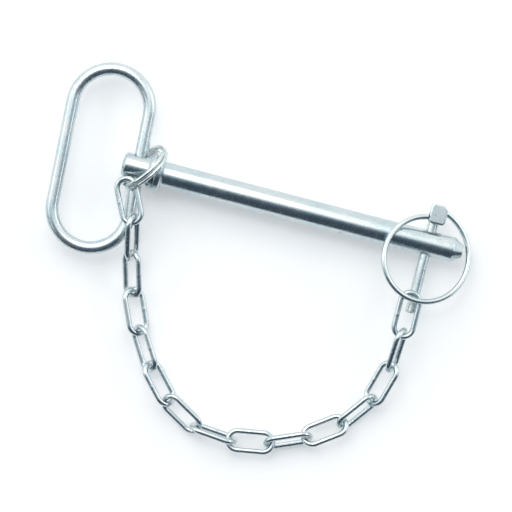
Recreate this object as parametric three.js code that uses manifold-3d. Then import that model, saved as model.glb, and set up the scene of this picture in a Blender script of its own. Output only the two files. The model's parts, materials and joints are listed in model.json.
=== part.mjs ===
// Hitch pin with a swinging grip handle and a linch pin, tethered to each other by a welded chain.
// Millimetres, +Z up. The origin is the centre of the pin head's flat end face, on the pin's axis.
// +X runs along the pin to its tip, the handle lies on the -X side, and the chain hangs in a bow on the -Y side.
// The assembly lies flat, with the split ring, the chain and the flange nearest the bench.
import * as THREE from "three";
import { mergeVertices } from "three/addons/utils/BufferGeometryUtils.js";
import Module from "manifold-3d";

const wasm = await Module();
wasm.setup();

// Pin: a 16 mm bar with a head, a forged flange and a coned tip.
const PIN_RADIUS = 8;
const PIN_LENGTH = 218.2;
const HEAD_CHAMFER = 1.8;
const FLANGE_RADIUS = 12;
const FLANGE_START = 20.6;
const FLANGE_END = 25.6;
const FLANGE_FILLET = 1.3;
const FLANGE_EDGE = 1.1;
const TIP_CONE_LENGTH = 6.5;
const TIP_RADIUS = 4;
const PIN_SIDES = 32;

// Stop collar: a separate ring slid onto the bar against the flange, with a long bevel towards the head.
const COLLAR_START = 16.2;
const COLLAR_END = 20.3;
const COLLAR_RADIUS = 11.4;
const COLLAR_NOSE_RADIUS = 9.6;
const COLLAR_BEVEL = 2.2;
const COLLAR_BORE_RADIUS = 8.35;

// Handle: an 8.2 mm rod bent into an oblong grip, whose ends butt inside the pin's cross hole.
const HANDLE_ROD_RADIUS = 4.1;
const HANDLE_BEND_RADIUS = 24.15;
const HANDLE_HALF_STRAIGHT = 32.2;
const HANDLE_BUTT_GAP = 0.5;
const HANDLE_X = 10;
const HANDLE_LEAN = THREE.MathUtils.degToRad(3.3);
const HANDLE_SLIP = 1.2;
const HANDLE_HOLE_RADIUS = 4.85;

// Linch pin: shank, head and the two holes that hold the ends of its ring.
const LINCH_X = 196.3;
const LINCH_RADIUS = 3.45;
const LINCH_LOW_END = -45;
const LINCH_END_CHAMFER = 1;
const LINCH_HOLE_RADIUS = 4.1;
const LINCH_HOLE_MOUTH = 5.2;
const LINCH_HEAD_LOW = 12.6;
const LINCH_HEAD_HIGH = 25.2;
const LINCH_HEAD_LEFT = -3.9;
const LINCH_HEAD_RIGHT = 6.9;
const LINCH_HEAD_HALF_DEPTH = 6.2;
const LINCH_HEAD_BEVEL = 1;

// Linch ring: 3.5 mm spring wire. One end sits higher in the head than the other, so the loop opens outwards.
const RING_WIRE_RADIUS = 1.75;
const RING_RADIUS = 26.45;
const RING_GROWTH = 4.9;
const RING_GROWTH_START = 250;
const RING_GROWTH_SPAN = 100;
const RING_FIRST_ANGLE = 6.2;
const RING_LAST_ANGLE = 352;
const RING_LEFT_MOUTH_ANGLE = 10;
const RING_RIGHT_MOUTH_ANGLE = 348.5;
const RING_CENTRE_X = 0.7;
const RING_CENTRE_Y = -10;
const RING_CENTRE_Z = 6.2;
const RING_SLOPE_X = -0.232;
const RING_SLOPE_Y = -0.16;
const RING_HOLE_RADIUS = 3;
const RING_HOLE_DEPTH = 3.7;

// Split ring: two turns of 2.5 mm wire, side by side, with one cross-over.
const SPLIT_WIRE_RADIUS = 1.25;
const SPLIT_RADIUS = 16.5;
const SPLIT_HALF_PITCH = 1.4;
const SPLIT_CROSS_ANGLE = 22;
const SPLIT_END_ANGLE = 30;
const SPLIT_CENTRE = new THREE.Vector3(13.4, 1.1, 2.4);
const SPLIT_LONG_AXIS = new THREE.Vector3(0.543, 0.84, 0).normalize();
const SPLIT_LEAN = THREE.MathUtils.degToRad(68);

// Chain: fifteen welded oval links of 3.5 mm wire.
const LINK_WIRE_RADIUS = 1.75;
const LINK_BEND_RADIUS = 6;
const LINK_HALF_STRAIGHT = 8;

// The chain's route, as the points that the link contacts follow. It starts on the split ring and ends with
// the last link lying between the linch ring and the linch pin's shank, not threaded, so the pin can draw out.
const CHAIN_ROUTE = [
  [4.6, -10.7, 7.1],
  [15.6, -33.3, 7.5],
  [19.9, -55.8, -1.6],
  [26.5, -78.2, -6.2],
  [36.2, -99.3, -6.2],
  [48.8, -119.2, -6.2],
  [65.0, -136.5, -6.2],
  [84.6, -147.6, -6.2],
  [107.0, -149.8, -6.2],
  [130.0, -146.4, -6.2],
  [151.8, -137.6, -6.2],
  [171.4, -124.2, -6.2],
  [186.4, -105.4, -6.2],
  [193.4, -82.4, -4.2],
  [194.5, -57.8, 4.9],
  [194.2, -34.4, 5.9],
];

// Each link's turn about its own length, in degrees: neighbours lie nearly square to each other.
const LINK_ROLLS = [8, -66, 44, -30, 50, -40, 36, -76, -6, 62, -20, 56, -32, 68, 6];

const STEEL = { color: 0xc4cbd0, metalness: 1 };

function material(roughness, color = STEEL.color) {
  return new THREE.MeshStandardMaterial({ color, roughness, metalness: STEEL.metalness });
}

// A closed three.js geometry as a solid that can be joined and cut.
function solidOf(geometry, matrix = new THREE.Matrix4()) {
  const bare = geometry.index ? geometry.toNonIndexed() : geometry.clone();
  bare.deleteAttribute("normal");
  bare.deleteAttribute("uv");
  bare.applyMatrix4(matrix);
  const merged = mergeVertices(bare, 1e-4);
  return new wasm.Manifold(
    new wasm.Mesh({
      numProp: 3,
      vertProperties: merged.attributes.position.array,
      triVerts: new Uint32Array(merged.index.array),
    }),
  );
}

function geometryOf(solid) {
  const mesh = solid.getMesh();
  const geometry = new THREE.BufferGeometry();
  geometry.setAttribute("position", new THREE.BufferAttribute(mesh.vertProperties, 3));
  geometry.setIndex(new THREE.BufferAttribute(mesh.triVerts, 1));
  geometry.computeVertexNormals();
  return geometry;
}

// A turned piece from [distance along, radius] pairs, laid along X.
function turnedAlongX(profile, sides) {
  const points = profile.map(([along, radius]) => new THREE.Vector2(radius, along));
  return new THREE.LatheGeometry(points, sides).rotateZ(-Math.PI / 2);
}

// A turned piece from [distance along, radius] pairs, laid along Y.
function turnedAlongY(profile, sides) {
  const points = profile.map(([along, radius]) => new THREE.Vector2(radius, along));
  return new THREE.LatheGeometry(points, sides);
}

// A round wire along a curve, with flat ends.
function wireAlong(curve, radius, steps, roundness) {
  const section = new THREE.Shape().absarc(0, 0, radius, 0, 2 * Math.PI);
  return new THREE.ExtrudeGeometry(section, {
    steps,
    curveSegments: roundness,
    extrudePath: curve,
  });
}

// An oblong in the XY plane: two straight sides along Y joined by half circles, counter-clockwise.
class Oblong extends THREE.Curve {
  constructor(bendRadius, halfStraight, trim = 0) {
    super();
    this.bendRadius = bendRadius;
    this.halfStraight = halfStraight;
    this.trim = trim;
  }

  getPoint(t, target = new THREE.Vector3()) {
    const straight = 2 * this.halfStraight;
    const bend = Math.PI * this.bendRadius;
    const whole = 2 * (straight + bend);
    let along = this.trim + t * (whole - 2 * this.trim) + this.halfStraight;
    along %= whole;
    const side = along < straight + bend ? 1 : -1;
    along %= straight + bend;
    if (along < straight) {
      return target.set(side * this.bendRadius, side * (along - this.halfStraight), 0);
    }
    const angle = (along - straight) / this.bendRadius;
    return target.set(
      side * this.bendRadius * Math.cos(angle),
      side * (this.halfStraight + this.bendRadius * Math.sin(angle)),
      0,
    );
  }
}

// Two turns in the XY plane that step across each other once.
class SplitTurns extends THREE.Curve {
  getPoint(t, target = new THREE.Vector3()) {
    const degrees = SPLIT_END_ANGLE + t * (720 - 2 * SPLIT_END_ANGLE);
    const share = (degrees - 360 + SPLIT_CROSS_ANGLE) / (2 * SPLIT_CROSS_ANGLE);
    const height = SPLIT_HALF_PITCH * (2 * THREE.MathUtils.smoothstep(share, 0, 1) - 1);
    const angle = THREE.MathUtils.degToRad(degrees);
    return target.set(SPLIT_RADIUS * Math.cos(angle), SPLIT_RADIUS * Math.sin(angle), height);
  }
}

// The linch ring's loop, measured from the linch pin's axis. It turns from the head's left side round to its right.
class LinchLoop extends THREE.Curve {
  getPoint(t, target) {
    return this.pointAt(RING_FIRST_ANGLE + t * (RING_LAST_ANGLE - RING_FIRST_ANGLE), target);
  }

  pointAt(degrees, target = new THREE.Vector3()) {
    const grown = Math.max(0, (degrees - RING_GROWTH_START) / RING_GROWTH_SPAN);
    const radius = RING_RADIUS + RING_GROWTH * grown * grown;
    const angle = THREE.MathUtils.degToRad(degrees);
    const x = -radius * Math.sin(angle);
    const y = radius * Math.cos(angle);
    const z = RING_CENTRE_Z + RING_SLOPE_X * x + RING_SLOPE_Y * y;
    return target.set(RING_CENTRE_X + x, RING_CENTRE_Y + y, z);
  }
}

function makePinBody() {
  const bar = solidOf(
    turnedAlongX(
      [
        [0, 0],
        [0, PIN_RADIUS - HEAD_CHAMFER],
        [HEAD_CHAMFER, PIN_RADIUS],
        [FLANGE_START, PIN_RADIUS],
        [FLANGE_START, FLANGE_RADIUS - FLANGE_EDGE],
        [FLANGE_START + FLANGE_EDGE, FLANGE_RADIUS],
        [FLANGE_END - FLANGE_EDGE, FLANGE_RADIUS],
        [FLANGE_END, FLANGE_RADIUS - FLANGE_EDGE],
        [FLANGE_END, PIN_RADIUS + FLANGE_FILLET],
        [FLANGE_END + FLANGE_FILLET, PIN_RADIUS],
        [PIN_LENGTH - TIP_CONE_LENGTH, PIN_RADIUS],
        [PIN_LENGTH, TIP_RADIUS],
        [PIN_LENGTH, 0],
      ],
      PIN_SIDES,
    ),
  );
  const beyond = PIN_RADIUS + 1;
  const mouth = PIN_RADIUS - 1.2;
  const linchHole = turnedAlongY(
    [
      [-beyond, 0],
      [-beyond, LINCH_HOLE_MOUTH],
      [-mouth, LINCH_HOLE_RADIUS],
      [mouth, LINCH_HOLE_RADIUS],
      [beyond, LINCH_HOLE_MOUTH],
      [beyond, 0],
    ],
    24,
  ).translate(LINCH_X, 0, 0);
  const handleHole = new THREE.CylinderGeometry(
    HANDLE_HOLE_RADIUS,
    HANDLE_HOLE_RADIUS,
    2 * beyond + 1,
    24,
  );
  handleHole.rotateZ(HANDLE_LEAN).translate(HANDLE_X, 0, 0);
  const cut = bar.subtract(solidOf(linchHole)).subtract(solidOf(handleHole));
  const mesh = new THREE.Mesh(geometryOf(cut), material(0.32));
  mesh.name = "pin_body";
  return mesh;
}

function makeStopCollar() {
  const profile = [
    [COLLAR_START, COLLAR_BORE_RADIUS],
    [COLLAR_START, COLLAR_NOSE_RADIUS],
    [COLLAR_START + COLLAR_BEVEL, COLLAR_RADIUS],
    [COLLAR_END, COLLAR_RADIUS],
    [COLLAR_END, COLLAR_BORE_RADIUS],
    [COLLAR_START, COLLAR_BORE_RADIUS],
  ];
  const mesh = new THREE.Mesh(turnedAlongX(profile, PIN_SIDES), material(0.4));
  mesh.name = "stop_collar";
  return mesh;
}

function makeHandle() {
  const loop = new Oblong(HANDLE_BEND_RADIUS, HANDLE_HALF_STRAIGHT, HANDLE_BUTT_GAP / 2);
  const geometry = wireAlong(loop, HANDLE_ROD_RADIUS, 52, 5);
  geometry.translate(-HANDLE_BEND_RADIUS, HANDLE_SLIP, 0);
  const mesh = new THREE.Mesh(geometry, material(0.26));
  mesh.name = "grip_handle";
  mesh.position.set(HANDLE_X, 0, 0);
  mesh.rotation.z = HANDLE_LEAN;
  return mesh;
}

function makeSplitRing() {
  const mesh = new THREE.Mesh(
    wireAlong(new SplitTurns(), SPLIT_WIRE_RADIUS, 60, 4),
    material(0.24),
  );
  mesh.name = "split_ring";
  // The ring's long axis lies in the bench plane, and its other axis leans up from it.
  const across = new THREE.Vector3(SPLIT_LONG_AXIS.y, -SPLIT_LONG_AXIS.x, 0);
  across.multiplyScalar(Math.cos(SPLIT_LEAN)).z = Math.sin(SPLIT_LEAN);
  const normal = new THREE.Vector3().crossVectors(SPLIT_LONG_AXIS, across);
  mesh.position.copy(SPLIT_CENTRE);
  mesh.quaternion.setFromRotationMatrix(
    new THREE.Matrix4().makeBasis(SPLIT_LONG_AXIS, across, normal),
  );
  return mesh;
}

function makeLinchPin() {
  const shank = turnedAlongY(
    [
      [LINCH_LOW_END, 0],
      [LINCH_LOW_END, LINCH_RADIUS - LINCH_END_CHAMFER],
      [LINCH_LOW_END + LINCH_END_CHAMFER, LINCH_RADIUS],
      [LINCH_HEAD_LOW + 1, LINCH_RADIUS],
      [LINCH_HEAD_LOW + 1, 0],
    ],
    24,
  );
  // The head's outline: square below, where it meets the shank, and cut across its upper corners.
  const outline = new THREE.Shape();
  outline.moveTo(LINCH_HEAD_LEFT, LINCH_HEAD_LOW + 1.4);
  outline.lineTo(LINCH_HEAD_LEFT + 1.4, LINCH_HEAD_LOW);
  outline.lineTo(LINCH_HEAD_RIGHT - 1.4, LINCH_HEAD_LOW);
  outline.lineTo(LINCH_HEAD_RIGHT, LINCH_HEAD_LOW + 1.4);
  outline.lineTo(LINCH_HEAD_RIGHT, LINCH_HEAD_HIGH - 2.4);
  outline.lineTo(LINCH_HEAD_RIGHT - 2.8, LINCH_HEAD_HIGH);
  outline.lineTo(LINCH_HEAD_LEFT + 1.2, LINCH_HEAD_HIGH);
  outline.lineTo(LINCH_HEAD_LEFT, LINCH_HEAD_HIGH - 1.4);
  outline.closePath();
  const head = new THREE.ExtrudeGeometry(outline, {
    depth: 2 * (LINCH_HEAD_HALF_DEPTH - LINCH_HEAD_BEVEL),
    bevelThickness: LINCH_HEAD_BEVEL,
    bevelSize: LINCH_HEAD_BEVEL,
    bevelOffset: -LINCH_HEAD_BEVEL,
    bevelSegments: 1,
  }).translate(0, 0, LINCH_HEAD_BEVEL - LINCH_HEAD_HALF_DEPTH);
  // The blind holes in the head's two sides share one axis, on which the ring swings.
  const loop = new LinchLoop();
  const left = loop.pointAt(RING_LEFT_MOUTH_ANGLE);
  const right = loop.pointAt(RING_RIGHT_MOUTH_ANGLE);
  const swingAxis = new THREE.Vector3().subVectors(right, left).normalize();
  const turn = new THREE.Quaternion().setFromUnitVectors(new THREE.Vector3(0, 1, 0), swingAxis);
  let body = solidOf(head).add(solidOf(shank));
  for (const mouth of [left, right]) {
    const length = 2 * RING_HOLE_DEPTH;
    const hole = new THREE.CylinderGeometry(RING_HOLE_RADIUS, RING_HOLE_RADIUS, length, 24);
    const place = new THREE.Matrix4().compose(mouth, turn, new THREE.Vector3(1, 1, 1));
    body = body.subtract(solidOf(hole, place));
  }
  const mesh = new THREE.Mesh(geometryOf(body), material(0.3));
  mesh.name = "linch_pin";
  mesh.position.x = LINCH_X;
  return mesh;
}

function makeLinchRing() {
  const mesh = new THREE.Mesh(wireAlong(new LinchLoop(), RING_WIRE_RADIUS, 52, 4), material(0.22));
  mesh.name = "linch_ring";
  mesh.position.x = LINCH_X;
  return mesh;
}

function makeChain() {
  const route = new THREE.CatmullRomCurve3(
    CHAIN_ROUTE.map((point) => new THREE.Vector3(...point)),
    false,
    "centripetal",
  );
  const contacts = route.getSpacedPoints(LINK_ROLLS.length);
  const oval = new Oblong(LINK_BEND_RADIUS, LINK_HALF_STRAIGHT);
  const geometry = new THREE.TubeGeometry(oval, 24, LINK_WIRE_RADIUS, 8, true);
  const chain = new THREE.Group();
  LINK_ROLLS.forEach((roll, i) => {
    const mesh = new THREE.Mesh(geometry, material(0.28));
    mesh.name = "chain_link_" + String(i + 1).padStart(2, "0");
    const along = new THREE.Vector3().subVectors(contacts[i + 1], contacts[i]).normalize();
    const level = new THREE.Vector3().crossVectors(along, new THREE.Vector3(0, 0, 1)).normalize();
    const across = level.applyAxisAngle(along, THREE.MathUtils.degToRad(roll));
    const normal = new THREE.Vector3().crossVectors(across, along);
    mesh.position.addVectors(contacts[i], contacts[i + 1]).multiplyScalar(0.5);
    mesh.quaternion.setFromRotationMatrix(new THREE.Matrix4().makeBasis(across, along, normal));
    chain.add(mesh);
  });
  return chain;
}

const hitchPin = new THREE.Group();
hitchPin.add(
  makePinBody(),
  makeStopCollar(),
  makeHandle(),
  makeSplitRing(),
  makeLinchPin(),
  makeLinchRing(),
  makeChain(),
);

export default hitchPin;
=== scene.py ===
import json
import math
import random

import bpy
from mathutils import Matrix, Vector


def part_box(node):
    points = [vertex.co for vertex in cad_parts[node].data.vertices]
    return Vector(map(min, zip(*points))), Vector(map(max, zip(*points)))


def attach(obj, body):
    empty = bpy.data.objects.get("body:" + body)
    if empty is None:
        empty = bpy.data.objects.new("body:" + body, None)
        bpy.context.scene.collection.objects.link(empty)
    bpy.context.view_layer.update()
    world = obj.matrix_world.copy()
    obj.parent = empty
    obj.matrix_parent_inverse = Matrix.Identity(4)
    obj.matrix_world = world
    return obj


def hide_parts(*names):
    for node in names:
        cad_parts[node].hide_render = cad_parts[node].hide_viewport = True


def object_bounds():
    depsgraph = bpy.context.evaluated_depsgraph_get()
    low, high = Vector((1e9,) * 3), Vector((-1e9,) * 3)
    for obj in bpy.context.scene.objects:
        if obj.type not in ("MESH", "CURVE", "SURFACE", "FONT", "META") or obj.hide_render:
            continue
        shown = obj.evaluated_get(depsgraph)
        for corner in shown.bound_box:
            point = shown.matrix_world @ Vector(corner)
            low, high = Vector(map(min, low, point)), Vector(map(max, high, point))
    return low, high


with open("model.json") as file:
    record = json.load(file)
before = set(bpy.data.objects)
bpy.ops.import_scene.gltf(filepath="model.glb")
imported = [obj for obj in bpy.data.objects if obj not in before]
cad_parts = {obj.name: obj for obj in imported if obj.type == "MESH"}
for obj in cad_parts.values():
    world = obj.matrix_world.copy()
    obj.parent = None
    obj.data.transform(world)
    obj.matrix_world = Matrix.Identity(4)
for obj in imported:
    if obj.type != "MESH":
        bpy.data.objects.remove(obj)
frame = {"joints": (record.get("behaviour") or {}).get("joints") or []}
cad_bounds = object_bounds()

# Hitch pin with a swinging grip handle and a linch pin, tethered by a welded chain.
# Each piece here stands for one CAD node, with the same main sizes and a finer surface.
# Sizes are in metres, and the angles among these constants in degrees, but for CAMERA_TURN.
MM = 0.001

PIN_RADIUS = 8 * MM
HEAD_CHAMFER = 1.8 * MM
FLANGE_RADIUS = 12 * MM
FLANGE_START = 20.6 * MM
FLANGE_END = 25.6 * MM
FLANGE_FILLET = 1.3 * MM
FLANGE_EDGE = 1.1 * MM
TIP_CONE_LENGTH = 6.5 * MM
TIP_RADIUS = 4 * MM
PIN_SIDES = 128
PIN_EDGE = 0.35 * MM
FILLET_STEPS = 6
HOLE_OVERRUN = 1 * MM
HOLE_MOUTH_DEPTH = 1.2 * MM
HOLE_SIDES = 64

COLLAR_START = 16.2 * MM
COLLAR_END = 20.3 * MM
COLLAR_RADIUS = 11.4 * MM
COLLAR_NOSE_RADIUS = 9.6 * MM
COLLAR_BEVEL = 2.2 * MM
COLLAR_BORE_RADIUS = 8.35 * MM
COLLAR_EDGE = 0.4 * MM
COLLAR_NOSE_EDGE = 0.2 * MM
COLLAR_CROWN = 0.62

HANDLE_ROD_RADIUS = 4.1 * MM
HANDLE_BEND_RADIUS = 24.15 * MM
HANDLE_HALF_STRAIGHT = 32.2 * MM
HANDLE_BUTT_GAP = 0.5 * MM
HANDLE_SLIP = 1.2 * MM
HANDLE_HOLE_RADIUS = 4.85 * MM
HANDLE_HOLE_MOUTH = 5.3 * MM
HANDLE_END_CHAMFER = 0.5 * MM
HANDLE_POINTS = 240
HANDLE_SIDES = 48

LINCH_RADIUS = 3.45 * MM
LINCH_LOW_END = -45 * MM
LINCH_END_CHAMFER = 1 * MM
LINCH_HOLE_RADIUS = 4.1 * MM
LINCH_HOLE_MOUTH = 5.2 * MM
LINCH_HEAD_LOW = 12.6 * MM
LINCH_HEAD_HIGH = 25.2 * MM
LINCH_HEAD_LEFT = -3.9 * MM
LINCH_HEAD_RIGHT = 6.9 * MM
LINCH_HEAD_HALF_DEPTH = 6.2 * MM
LINCH_HEAD_BEVEL = 1.1 * MM
LINCH_HEAD_EDGE = 0.25 * MM
LINCH_HEAD_CORNER = 1.4 * MM
LINCH_HEAD_CUT_RIGHT = (2.8 * MM, 2.4 * MM)
LINCH_HEAD_CUT_LEFT = 1.2 * MM
LINCH_HEAD_OVERLAP = 1 * MM
LINCH_SIDES = 72
LINCH_END_ROUND = (0.35 * MM, 0.45 * MM)

RING_WIRE_RADIUS = 1.75 * MM
RING_RADIUS = 26.45 * MM
RING_GROWTH = 4.9 * MM
RING_GROWTH_START = 250
RING_GROWTH_SPAN = 100
RING_FIRST_ANGLE = 6.2
RING_LAST_ANGLE = 352
RING_LEFT_MOUTH_ANGLE = 10
RING_RIGHT_MOUTH_ANGLE = 348.5
RING_CENTRE = Vector((0.7, -10, 6.2)) * MM
RING_SLOPE_X = -0.232
RING_SLOPE_Y = -0.16
RING_HOLE_RADIUS = 3 * MM
RING_HOLE_DEPTH = 3.7 * MM
RING_HOLE_SIDES = 48
RING_END_CHAMFER = 0.3 * MM
RING_POINTS = 260
RING_SIDES = 32

SPLIT_WIRE_RADIUS = 1.25 * MM
SPLIT_RADIUS = 16.5 * MM
SPLIT_HALF_PITCH = 1.4 * MM
SPLIT_CROSS_ANGLE = 22
SPLIT_END_ANGLE = 30
SPLIT_LONG_AXIS = Vector((0.543, 0.84, 0)).normalized()
SPLIT_END_CHAMFER = 0.25 * MM
SPLIT_POINTS = 300
SPLIT_SIDES = 24

LINK_WIRE_RADIUS = 1.75 * MM
LINK_BEND_RADIUS = 6 * MM
LINK_HALF_STRAIGHT = 8 * MM
LINK_POINTS = 96
LINK_SIDES = 28
# Each link's turn about its own length; neighbours lie roughly square to each other.
LINK_ROLLS = [8, -66, 44, -30, 50, -40, 36, -76, -6, 62, -20, 56, -32, 68, 6]
WELD_HEIGHT = 0.16 * MM
WELD_WIDTH = 0.7 * MM
WELD_WANDER = 1 * MM
WELD_GROOVE = 0.55
WELD_GROOVE_SHARPNESS = 12
WELD_SEED = 11

FLOOR_GAP = 0.2 * MM
FLOOR_HALF_WIDTH = 3.0

# The camera looks straight down, turned about Z.
CAMERA_TURN = math.radians(14.63)
CAMERA_DISTANCE = 1.5
CAMERA_AIM = Vector((0.0946, -0.0347, 0))
CAMERA_VIEW_WIDTH = 0.3188
SENSOR_WIDTH = 36

X_AXIS = Vector((1, 0, 0))
Y_AXIS = Vector((0, 1, 0))
Z_AXIS = Vector((0, 0, 1))

JOINTS = {joint["child"]: joint for joint in frame["joints"]}
PIN_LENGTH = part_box("pin_body")[1].x
linch_low, linch_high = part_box("linch_pin")
LINCH_X = (linch_low.x + linch_high.x - LINCH_HEAD_LEFT - LINCH_HEAD_RIGHT) / 2


# Meshes

def mesh_object(name, vertices, faces):
    mesh = bpy.data.meshes.new(name)
    mesh.from_pydata([tuple(v) for v in vertices], [], faces)
    mesh.validate()
    piece = bpy.data.objects.new(name, mesh)
    bpy.context.scene.collection.objects.link(piece)
    return piece


def smooth(piece, sharp_angle):
    piece.data.shade_smooth()
    piece.data.set_sharp_from_angle(angle=math.radians(sharp_angle))


def ring_faces(rings, sides, closed):
    """The faces between rings of points, with a flat cap on each end unless the rings close on themselves."""
    faces = []
    for i in range(rings if closed else rings - 1):
        low, high = i * sides, (i + 1) % rings * sides
        for k in range(sides):
            after = (k + 1) % sides
            faces.append((low + k, low + after, high + after, high + k))
    if not closed:
        last = (rings - 1) * sides
        faces.append(tuple(reversed(range(sides))))
        faces.append(tuple(range(last, last + sides)))
    return faces


def turned(name, profile, sides, axis, closed=False):
    """A turned piece from (distance, radius) pairs, about an axis through the origin."""
    first = axis.orthogonal().normalized()
    second = axis.cross(first)
    vertices = []
    for distance, radius in profile:
        for k in range(sides):
            angle = 2 * math.pi * k / sides
            spoke = first * math.cos(angle) + second * math.sin(angle)
            vertices.append(axis * distance + spoke * radius)
    return mesh_object(name, vertices, ring_faces(len(profile), sides, closed))


def wire(name, points, radius, sides, closed=False, end_chamfer=0.0, bulge=None):
    """A round wire through the points. bulge(i) is how far point i's section stands proud."""
    count = len(points)
    tangents = []
    for i in range(count):
        before = points[i - 1] if closed or i else points[0]
        after = points[(i + 1) % count] if closed or i < count - 1 else points[-1]
        tangents.append((after - before).normalized())
    sections = [radius + (bulge(i) if bulge else 0) for i in range(count)]
    rings = list(zip(points, tangents, sections))
    if not closed:
        first, last = rings[0], rings[-1]
        rings[0] = (first[0] + first[1] * end_chamfer, first[1], radius)
        rings[-1] = (last[0] - last[1] * end_chamfer, last[1], radius)
        rings.insert(0, (first[0], first[1], radius - end_chamfer))
        rings.append((last[0], last[1], radius - end_chamfer))
    side = rings[0][1].orthogonal().normalized()
    vertices = []
    for centre, tangent, section in rings:
        side = (side - tangent * side.dot(tangent)).normalized()
        other = tangent.cross(side)
        for k in range(sides):
            angle = 2 * math.pi * k / sides
            vertices.append(centre + (side * math.cos(angle) + other * math.sin(angle)) * section)
    return mesh_object(name, vertices, ring_faces(len(rings), sides, closed))


def bake_modifiers(piece):
    shape = piece.evaluated_get(bpy.context.evaluated_depsgraph_get())
    mesh = bpy.data.meshes.new_from_object(shape)
    piece.modifiers.clear()
    piece.data = mesh


def combine(piece, tool, operation):
    """Joins or cuts piece with tool, which is used up."""
    step = piece.modifiers.new(operation.lower(), "BOOLEAN")
    step.operation = operation
    step.object = tool
    step.solver = "EXACT"
    bake_modifiers(piece)
    bpy.data.objects.remove(tool)


def bevel(piece, width, segments, angle):
    step = piece.modifiers.new("bevel", "BEVEL")
    step.width = width
    step.segments = segments
    step.limit_method = "ANGLE"
    step.angle_limit = math.radians(angle)
    bake_modifiers(piece)


def oblong(bend_radius, half_straight, count, trim=0.0, closed=True):
    """Points on two straight sides along Y joined by half circles.

    They run counter-clockwise from the right side's middle, and an open one stops short by trim at each end.
    """
    straight = 2 * half_straight
    bend = math.pi * bend_radius
    whole = 2 * (straight + bend)
    points = []
    for i in range(count):
        share = i / (count if closed else count - 1)
        along = (trim + share * (whole - 2 * trim) + half_straight) % whole
        side = 1 if along < straight + bend else -1
        along %= straight + bend
        if along < straight:
            points.append(Vector((side * bend_radius, side * (along - half_straight), 0)))
            continue
        angle = (along - straight) / bend_radius
        x = bend_radius * math.cos(angle)
        y = half_straight + bend_radius * math.sin(angle)
        points.append(Vector((side * x, side * y, 0)))
    return points


def basis(across, along, normal, place):
    """The matrix whose columns are the three axes and the place."""
    turn = Matrix((across, along, normal)).transposed().to_4x4()
    return Matrix.Translation(place) @ turn


# Materials

# Sizes of the marks, in noise cells per metre, and the noise range over which each one fades in.
CLOUD_SCALE, CLOUD_DETAIL, CLOUD_RANGE = 70, 4, (0.35, 0.65)
PIT_SCALE, PIT_DETAIL, PIT_RANGE = 1400, 5, (0.60, 0.68)
SCRATCH_SCALE, SCRATCH_DETAIL, SCRATCH_RANGE = 60, 3, (0.62, 0.68)
STAIN_SCALE, STAIN_DETAIL, STAIN_RANGE = 190, 6, (0.69, 0.76)
GLOSS_SCALE, GLOSS_DETAIL, GLOSS_RANGE = 260, 5, (0.3, 0.7)
SKIN_SCALE, SKIN_DETAIL = 1500, 4

COOL_CAST = (0.86, 0.93, 0.95)
PIT_DARKNESS = 0.45
SCRATCH_COLOUR = (0.92, 0.94, 0.95)
SCRATCH_SHARE = 0.35
STAIN_COLOUR = (0.23, 0.14, 0.08)
GLOSS_BELOW, GLOSS_ABOVE = 0.06, 0.08
PIT_ROUGHNESS, STAIN_ROUGHNESS = 0.25, 0.4
PIT_HEIGHT, SCRATCH_HEIGHT = -0.3, -0.25
BUMP_STRENGTH, BUMP_DISTANCE = 0.16, 0.08 * MM


class NodeTree:
    """Short calls for the few shader nodes that the materials and the world use."""

    def __init__(self, owner):
        owner.use_nodes = True
        self.nodes = owner.node_tree.nodes
        self.links = owner.node_tree.links

    def feed(self, value, socket):
        """Links an output to the socket, or sets the socket to a number or a colour."""
        if isinstance(value, tuple):
            socket.default_value = (*value, 1)
        elif isinstance(value, (int, float)):
            socket.default_value = value
        else:
            self.links.new(value, socket)

    def noise(self, coordinates, scale, detail, stretch=(1, 1, 1)):
        mapping = self.nodes.new("ShaderNodeMapping")
        mapping.inputs["Scale"].default_value = stretch
        self.feed(coordinates, mapping.inputs["Vector"])
        texture = self.nodes.new("ShaderNodeTexNoise")
        texture.inputs["Scale"].default_value = scale
        texture.inputs["Detail"].default_value = detail
        self.feed(mapping.outputs["Vector"], texture.inputs["Vector"])
        return texture.outputs["Fac"]

    def ranged(self, source, span, target=(0, 1)):
        """Maps the source from one span of values to another, and holds it at the ends."""
        step = self.nodes.new("ShaderNodeMapRange")
        step.inputs["From Min"].default_value, step.inputs["From Max"].default_value = span
        step.inputs["To Min"].default_value, step.inputs["To Max"].default_value = target
        self.feed(source, step.inputs["Value"])
        return step.outputs["Result"]

    def mixed(self, factor, first, second):
        mix = self.nodes.new("ShaderNodeMix")
        mix.data_type = "RGBA"
        colours = [socket for socket in mix.inputs if socket.type == "RGBA"]
        self.feed(factor, mix.inputs["Factor"])
        self.feed(first, colours[0])
        self.feed(second, colours[1])
        return next(socket for socket in mix.outputs if socket.type == "RGBA")

    def combined(self, operation, first, second):
        step = self.nodes.new("ShaderNodeMath")
        step.operation = operation
        self.feed(first, step.inputs[0])
        self.feed(second, step.inputs[1])
        return step.outputs[0]

    def times(self, first, second):
        return self.combined("MULTIPLY", first, second)

    def plus(self, first, second):
        return self.combined("ADD", first, second)


def scaled(colour, factors):
    return tuple(channel * factor for channel, factor in zip(colour, factors))


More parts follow.
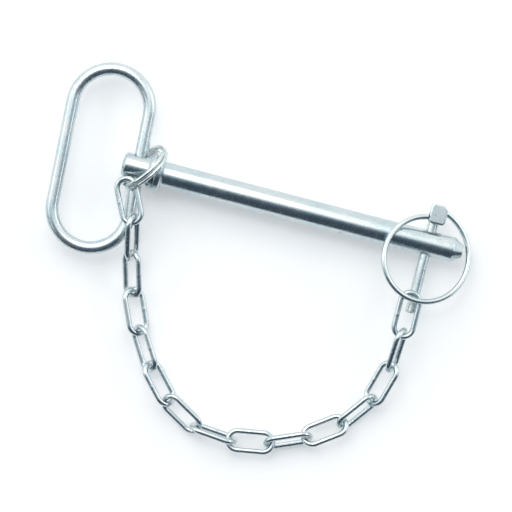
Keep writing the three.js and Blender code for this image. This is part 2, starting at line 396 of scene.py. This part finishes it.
def plated_steel(slot, tint, gloss, grain, scratch_stretch, rust=0.4):
    """Bright zinc plate: cloudy tint, fine pits, short scratches and a few brown spots."""
    material = bpy.data.materials.new(slot)
    tree = NodeTree(material)
    shader = tree.nodes["Principled BSDF"]
    shader.inputs["Metallic"].default_value = 1
    place = tree.nodes.new("ShaderNodeTexCoord").outputs["Object"]

    cloud = tree.ranged(tree.noise(place, CLOUD_SCALE, CLOUD_DETAIL), CLOUD_RANGE)
    pits = tree.ranged(tree.noise(place, PIT_SCALE, PIT_DETAIL), PIT_RANGE)
    scratch_noise = tree.noise(place, SCRATCH_SCALE, SCRATCH_DETAIL, scratch_stretch)
    scratches = tree.ranged(scratch_noise, SCRATCH_RANGE)
    stains = tree.ranged(tree.noise(place, STAIN_SCALE, STAIN_DETAIL), STAIN_RANGE)
    pit_share = tree.times(pits, grain)
    stain_share = tree.times(stains, rust)

    colour = tree.mixed(cloud, tint, scaled(tint, COOL_CAST))
    colour = tree.mixed(pit_share, colour, scaled(tint, [PIT_DARKNESS] * 3))
    colour = tree.mixed(tree.times(scratches, SCRATCH_SHARE), colour, SCRATCH_COLOUR)
    colour = tree.mixed(stain_share, colour, STAIN_COLOUR)
    tree.feed(colour, shader.inputs["Base Color"])

    gloss_noise = tree.noise(place, GLOSS_SCALE, GLOSS_DETAIL)
    rough = tree.ranged(gloss_noise, GLOSS_RANGE, (gloss - GLOSS_BELOW, gloss + GLOSS_ABOVE))
    rough = tree.plus(rough, tree.times(pit_share, PIT_ROUGHNESS))
    rough = tree.plus(rough, tree.times(stain_share, STAIN_ROUGHNESS))
    tree.feed(rough, shader.inputs["Roughness"])

    height = tree.plus(tree.times(pits, PIT_HEIGHT * grain), tree.times(scratches, SCRATCH_HEIGHT))
    height = tree.plus(height, tree.noise(place, SKIN_SCALE, SKIN_DETAIL))
    bump = tree.nodes.new("ShaderNodeBump")
    bump.inputs["Strength"].default_value = BUMP_STRENGTH
    bump.inputs["Distance"].default_value = BUMP_DISTANCE
    tree.feed(height, bump.inputs["Height"])
    tree.feed(bump.outputs["Normal"], shader.inputs["Normal"])
    return material


# How scratches stretch: long along the axis with the small number.
ALONG_X = (1, 26, 26)
ALONG_Y = (26, 1, 26)
ANY_WAY = (9, 9, 9)
MATERIALS = {
    "plated_bar": plated_steel("plated_bar", (0.62, 0.68, 0.69), 0.20, 1.0, ALONG_X),
    "plated_rod": plated_steel("plated_rod", (0.66, 0.71, 0.72), 0.27, 0.5, ALONG_Y),
    "plated_wire": plated_steel("plated_wire", (0.68, 0.73, 0.73), 0.22, 0.3, ANY_WAY, 0.2),
    "plated_forging": plated_steel("plated_forging", (0.68, 0.73, 0.73), 0.24, 1.0, ANY_WAY),
    "plated_chain": plated_steel("plated_chain", (0.62, 0.67, 0.68), 0.22, 0.5, ANY_WAY),
}
SHARP_ANGLE = 38
CUT_SHARP_ANGLE = 30


def finish_piece(piece, slot, body, node, sharp_angle=SHARP_ANGLE, flat_faces=False):
    """Shades the piece, gives it its finish, and puts it in the CAD node's place on its body."""
    smooth(piece, sharp_angle)
    if flat_faces:
        weighting = piece.modifiers.new("weighted_normals", "WEIGHTED_NORMAL")
        weighting.keep_sharp = True
    piece.data.materials.clear()
    piece.data.materials.append(MATERIALS[slot])
    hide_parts(node)
    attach(piece, body)


# Pieces

def drill(pin, radius, mouth_radius, axis, place):
    """A hole right through the bar, flared at both mouths."""
    beyond = PIN_RADIUS + HOLE_OVERRUN
    mouth = PIN_RADIUS - HOLE_MOUTH_DEPTH
    profile = [(-beyond, mouth_radius), (-mouth, radius), (mouth, radius), (beyond, mouth_radius)]
    hole = turned("hole", profile, HOLE_SIDES, axis)
    hole.location = place
    combine(pin, hole, "DIFFERENCE")


def make_pin():
    profile = [
        (0, PIN_RADIUS - HEAD_CHAMFER),
        (HEAD_CHAMFER, PIN_RADIUS),
        (FLANGE_START, PIN_RADIUS),
        (FLANGE_START, FLANGE_RADIUS - FLANGE_EDGE),
        (FLANGE_START + FLANGE_EDGE, FLANGE_RADIUS),
        (FLANGE_END - FLANGE_EDGE, FLANGE_RADIUS),
        (FLANGE_END, FLANGE_RADIUS - FLANGE_EDGE),
    ]
    for step in range(FILLET_STEPS + 1):
        angle = step / FILLET_STEPS * math.pi / 2
        along = FLANGE_END + FLANGE_FILLET * (1 - math.cos(angle))
        profile.append((along, PIN_RADIUS + FLANGE_FILLET * (1 - math.sin(angle))))
    profile += [(PIN_LENGTH - TIP_CONE_LENGTH, PIN_RADIUS), (PIN_LENGTH, TIP_RADIUS)]
    pin = turned("hitch_bar", profile, PIN_SIDES, X_AXIS)
    bevel(pin, PIN_EDGE, 3, 24)
    drill(pin, LINCH_HOLE_RADIUS, LINCH_HOLE_MOUTH, Y_AXIS, LINCH_X * X_AXIS)
    handle = JOINTS["handle"]
    drill(pin, HANDLE_HOLE_RADIUS, HANDLE_HOLE_MOUTH, Vector(handle["axis"]), Vector(handle["pos_m"]))
    finish_piece(pin, "plated_bar", "pin", "pin_body", CUT_SHARP_ANGLE, flat_faces=True)


def make_collar():
    crown = COLLAR_NOSE_RADIUS + COLLAR_CROWN * (COLLAR_RADIUS - COLLAR_NOSE_RADIUS)
    profile = [
        (COLLAR_START, COLLAR_BORE_RADIUS + COLLAR_EDGE),
        (COLLAR_START, COLLAR_NOSE_RADIUS - COLLAR_EDGE),
        (COLLAR_START + COLLAR_NOSE_EDGE, COLLAR_NOSE_RADIUS),
        (COLLAR_START + COLLAR_BEVEL / 2, crown),
        (COLLAR_START + COLLAR_BEVEL, COLLAR_RADIUS),
        (COLLAR_END - COLLAR_EDGE, COLLAR_RADIUS),
        (COLLAR_END, COLLAR_RADIUS - COLLAR_EDGE),
        (COLLAR_END, COLLAR_BORE_RADIUS),
        (COLLAR_START + COLLAR_EDGE, COLLAR_BORE_RADIUS),
    ]
    collar = turned("collar_ring", profile, PIN_SIDES, X_AXIS, closed=True)
    finish_piece(collar, "plated_bar", "pin", "stop_collar", flat_faces=True)


def make_handle():
    joint = JOINTS["handle"]
    along = Vector(joint["axis"])
    trim = HANDLE_BUTT_GAP / 2
    points = oblong(HANDLE_BEND_RADIUS, HANDLE_HALF_STRAIGHT, HANDLE_POINTS, trim, closed=False)
    shift = Vector((-HANDLE_BEND_RADIUS, HANDLE_SLIP, 0))
    place = basis(along.cross(Z_AXIS), along, Z_AXIS, Vector(joint["pos_m"]))
    points = [place @ (point + shift) for point in points]
    rod = wire("grip_rod", points, HANDLE_ROD_RADIUS, HANDLE_SIDES, end_chamfer=HANDLE_END_CHAMFER)
    finish_piece(rod, "plated_rod", "handle", "grip_handle")


def make_split_ring():
    joint = JOINTS["split_ring"]
    normal = Vector(joint["axis"])
    across = normal.cross(SPLIT_LONG_AXIS)
    place = basis(SPLIT_LONG_AXIS, across, normal, Vector(joint["pos_m"]))
    points = []
    for i in range(SPLIT_POINTS):
        degrees = SPLIT_END_ANGLE + i / (SPLIT_POINTS - 1) * (720 - 2 * SPLIT_END_ANGLE)
        share = (degrees - 360 + SPLIT_CROSS_ANGLE) / (2 * SPLIT_CROSS_ANGLE)
        share = min(1, max(0, share))
        height = SPLIT_HALF_PITCH * (2 * share * share * (3 - 2 * share) - 1)
        angle = math.radians(degrees)
        x = SPLIT_RADIUS * math.cos(angle)
        y = SPLIT_RADIUS * math.sin(angle)
        points.append(place @ Vector((x, y, height)))
    ring = wire("split_ring_coil", points, SPLIT_WIRE_RADIUS, SPLIT_SIDES, end_chamfer=SPLIT_END_CHAMFER)
    finish_piece(ring, "plated_wire", "split_ring", "split_ring")


def linch_loop(degrees):
    """A point of the linch ring, which turns from the head's left side round to its right."""
    grown = max(0, (degrees - RING_GROWTH_START) / RING_GROWTH_SPAN)
    radius = RING_RADIUS + RING_GROWTH * grown * grown
    angle = math.radians(degrees)
    x = -radius * math.sin(angle)
    y = radius * math.cos(angle)
    offset = Vector((x, y, RING_SLOPE_X * x + RING_SLOPE_Y * y))
    return Vector((LINCH_X, 0, 0)) + RING_CENTRE + offset


def make_linch_ring():
    step = (RING_LAST_ANGLE - RING_FIRST_ANGLE) / (RING_POINTS - 1)
    points = [linch_loop(RING_FIRST_ANGLE + i * step) for i in range(RING_POINTS)]
    ring = wire("linch_spring", points, RING_WIRE_RADIUS, RING_SIDES, end_chamfer=RING_END_CHAMFER)
    finish_piece(ring, "plated_wire", "linch_ring", "linch_ring")


def make_linch_head():
    """A forged block from its outline in the XY plane, whose upper right corner is cut the deepest."""
    corner = LINCH_HEAD_CORNER
    cut_across, cut_down = LINCH_HEAD_CUT_RIGHT
    outline = [
        (LINCH_HEAD_LEFT, LINCH_HEAD_LOW + corner),
        (LINCH_HEAD_LEFT + corner, LINCH_HEAD_LOW),
        (LINCH_HEAD_RIGHT - corner, LINCH_HEAD_LOW),
        (LINCH_HEAD_RIGHT, LINCH_HEAD_LOW + corner),
        (LINCH_HEAD_RIGHT, LINCH_HEAD_HIGH - cut_down),
        (LINCH_HEAD_RIGHT - cut_across, LINCH_HEAD_HIGH),
        (LINCH_HEAD_LEFT + LINCH_HEAD_CUT_LEFT, LINCH_HEAD_HIGH),
        (LINCH_HEAD_LEFT, LINCH_HEAD_HIGH - corner),
    ]
    vertices = []
    for height in (-LINCH_HEAD_HALF_DEPTH, LINCH_HEAD_HALF_DEPTH):
        vertices += [(LINCH_X + x, y, height) for x, y in outline]
    head = mesh_object("linch_bolt", vertices, ring_faces(2, len(outline), False))
    bevel(head, LINCH_HEAD_BEVEL, 2, 25)
    bevel(head, LINCH_HEAD_EDGE, 2, 20)
    return head


def make_linch_pin():
    pin = make_linch_head()
    round_along, round_in = LINCH_END_ROUND
    profile = [
        (LINCH_LOW_END, LINCH_RADIUS - LINCH_END_CHAMFER),
        (LINCH_LOW_END + round_along, LINCH_RADIUS - round_in),
        (LINCH_LOW_END + LINCH_END_CHAMFER, LINCH_RADIUS),
        (LINCH_HEAD_LOW + LINCH_HEAD_OVERLAP, LINCH_RADIUS),
    ]
    shank = turned("linch_shank", profile, LINCH_SIDES, Y_AXIS)
    shank.location.x = LINCH_X
    combine(pin, shank, "UNION")
    # The ring's two blind holes share one axis, on which it swings.
    left = linch_loop(RING_LEFT_MOUTH_ANGLE)
    right = linch_loop(RING_RIGHT_MOUTH_ANGLE)
    swing_axis = (right - left).normalized()
    for mouth in (left, right):
        ends = [(-RING_HOLE_DEPTH, RING_HOLE_RADIUS), (RING_HOLE_DEPTH, RING_HOLE_RADIUS)]
        hole = turned("ring_hole", ends, RING_HOLE_SIDES, swing_axis)
        hole.location = mouth
        combine(pin, hole, "DIFFERENCE")
    finish_piece(pin, "plated_forging", "linch_pin", "linch_pin", CUT_SHARP_ANGLE, flat_faces=True)


def weld_bulge(oval, side, height, offset):
    """How far each point of the oval stands proud: a low bead with a groove along its middle, on one leg."""

    def bulge(i):
        point = oval[i]
        if point.x * side < 0:
            return 0
        away = (point.y - offset) / WELD_WIDTH
        bead = math.exp(-away * away)
        groove = WELD_GROOVE * math.exp(-WELD_GROOVE_SHARPNESS * away * away)
        return height * (bead - groove)

    return bulge


def make_chain():
    dice = random.Random(WELD_SEED)
    oval = oblong(LINK_BEND_RADIUS, LINK_HALF_STRAIGHT, LINK_POINTS)
    for number, roll in enumerate(LINK_ROLLS, 1):
        node = f"chain_link_{number:02d}"
        joint = JOINTS[node]
        along = Vector(joint["axis"])
        level = along.cross(Z_AXIS).normalized()
        across = Matrix.Rotation(math.radians(roll), 3, along) @ level
        place = basis(across, along, across.cross(along), Vector(joint["pos_m"]))
        offset = dice.uniform(-1, 1) * WELD_WANDER
        side = dice.choice((-1, 1))
        height = WELD_HEIGHT * dice.uniform(0.7, 1.0)
        bulge = weld_bulge(oval, side, height, offset)
        points = [place @ point for point in oval]
        link = wire(f"link_{number:02d}_oval", points, LINK_WIRE_RADIUS, LINK_SIDES, True, bulge=bulge)
        finish_piece(link, "plated_chain", node, node)


def make_floor():
    low = cad_bounds[0][2] - FLOOR_GAP
    half = FLOOR_HALF_WIDTH
    corners = [(-half, -half, low), (half, -half, low), (half, half, low), (-half, half, low)]
    floor = mesh_object("studio_floor", corners, [(0, 1, 2, 3)])
    material = bpy.data.materials.new("studio_paper")
    shader = NodeTree(material).nodes["Principled BSDF"]
    shader.inputs["Base Color"].default_value = (0.86, 0.87, 0.88, 1)
    shader.inputs["Roughness"].default_value = 0.8
    shader.inputs["Specular IOR Level"].default_value = 0.1
    shader.inputs["Emission Color"].default_value = (1, 1, 1, 1)
    shader.inputs["Emission Strength"].default_value = 0.24
    floor.data.materials.append(material)


# Light and camera. "Right" and "up" are the picture's, seen from above.
RIGHT = Vector((math.cos(CAMERA_TURN), math.sin(CAMERA_TURN), 0))
UP = Vector((-math.sin(CAMERA_TURN), math.cos(CAMERA_TURN), 0))


def softbox(name, right, up, height, width, depth, power, colour=(1, 1, 1)):
    """An area light that faces the camera's aim. Right, up and height are metres from there."""
    data = bpy.data.lights.new(name, "AREA")
    data.shape = "RECTANGLE"
    data.size = width
    data.size_y = depth
    data.energy = power
    data.color = colour
    lamp = bpy.data.objects.new(name, data)
    place = CAMERA_AIM + RIGHT * right + UP * up + Z_AXIS * height
    facing = (place - CAMERA_AIM).normalized()
    across = UP.cross(facing).normalized()
    lamp.matrix_world = basis(across, facing.cross(across), facing, place)
    bpy.context.scene.collection.objects.link(lamp)


# The world's brightness from the dark side to the bright side: where along the ramp, and the colour there.
WORLD_ENDS = [(0.22, (0.055, 0.075, 0.10)), (0.62, (1.0, 1.0, 1.0))]
WORLD_BETWEEN = [(0.42, (0.13, 0.17, 0.21)), (0.485, (0.46, 0.53, 0.58)), (0.53, (0.84, 0.88, 0.90))]
WORLD_STRENGTH = 1.15
PAPER_COLOUR = (0.9, 0.91, 0.92)
COOL_LIGHT = (0.95, 0.99, 1)


def studio_world():
    """A bright wall towards the picture's top, a dark room opposite, and plain pale paper for the camera."""
    world = bpy.data.worlds.new("studio")
    tree = NodeTree(world)
    towards = tree.nodes.new("ShaderNodeVectorMath")
    towards.operation = "DOT_PRODUCT"
    towards.inputs[1].default_value = UP
    tree.feed(tree.nodes.new("ShaderNodeTexCoord").outputs["Generated"], towards.inputs[0])
    ramp = tree.nodes.new("ShaderNodeValToRGB")
    tree.feed(tree.ranged(towards.outputs["Value"], (-1, 1)), ramp.inputs["Fac"])
    stops = ramp.color_ramp.elements
    for stop, (position, colour) in zip(stops, WORLD_ENDS):
        stop.position = position
        stop.color = (*colour, 1)
    for position, colour in WORLD_BETWEEN:
        stops.new(position).color = (*colour, 1)
    background = tree.nodes["Background"]
    background.inputs["Strength"].default_value = WORLD_STRENGTH
    tree.feed(ramp.outputs["Color"], background.inputs["Color"])
    paper = tree.nodes.new("ShaderNodeBackground")
    tree.feed(PAPER_COLOUR, paper.inputs["Color"])
    choice = tree.nodes.new("ShaderNodeMixShader")
    tree.feed(tree.nodes.new("ShaderNodeLightPath").outputs["Is Camera Ray"], choice.inputs["Fac"])
    tree.feed(background.outputs["Background"], choice.inputs[1])
    tree.feed(paper.outputs["Background"], choice.inputs[2])
    tree.feed(choice.outputs["Shader"], tree.nodes["World Output"].inputs["Surface"])
    bpy.context.scene.world = world


def make_light():
    softbox("key_softbox", right=-0.35, up=1.1, height=1.5, width=1.5, depth=1.5, power=9)
    softbox("small_softbox", right=-0.25, up=0.62, height=1.6, width=0.45, depth=0.3, power=1.6)
    softbox("left_strip", right=-1.5, up=0.1, height=0.9, width=0.3, depth=1.6, power=3, colour=COOL_LIGHT)
    softbox("right_strip", right=1.5, up=0.2, height=0.8, width=0.35, depth=1.6, power=4, colour=COOL_LIGHT)
    studio_world()


def make_camera():
    data = bpy.data.cameras.new("camera")
    data.sensor_width = SENSOR_WIDTH
    data.lens = SENSOR_WIDTH * CAMERA_DISTANCE / CAMERA_VIEW_WIDTH
    data.clip_end = 20
    camera = bpy.data.objects.new("camera", data)
    camera.matrix_world = basis(RIGHT, UP, Z_AXIS, CAMERA_AIM + Z_AXIS * CAMERA_DISTANCE)
    bpy.context.scene.collection.objects.link(camera)
    bpy.context.scene.camera = camera


make_pin()
make_collar()
make_handle()
make_split_ring()
make_linch_ring()
make_linch_pin()
make_chain()
make_floor()
make_light()
make_camera()
bpy.context.scene.view_settings.view_transform = "Standard"
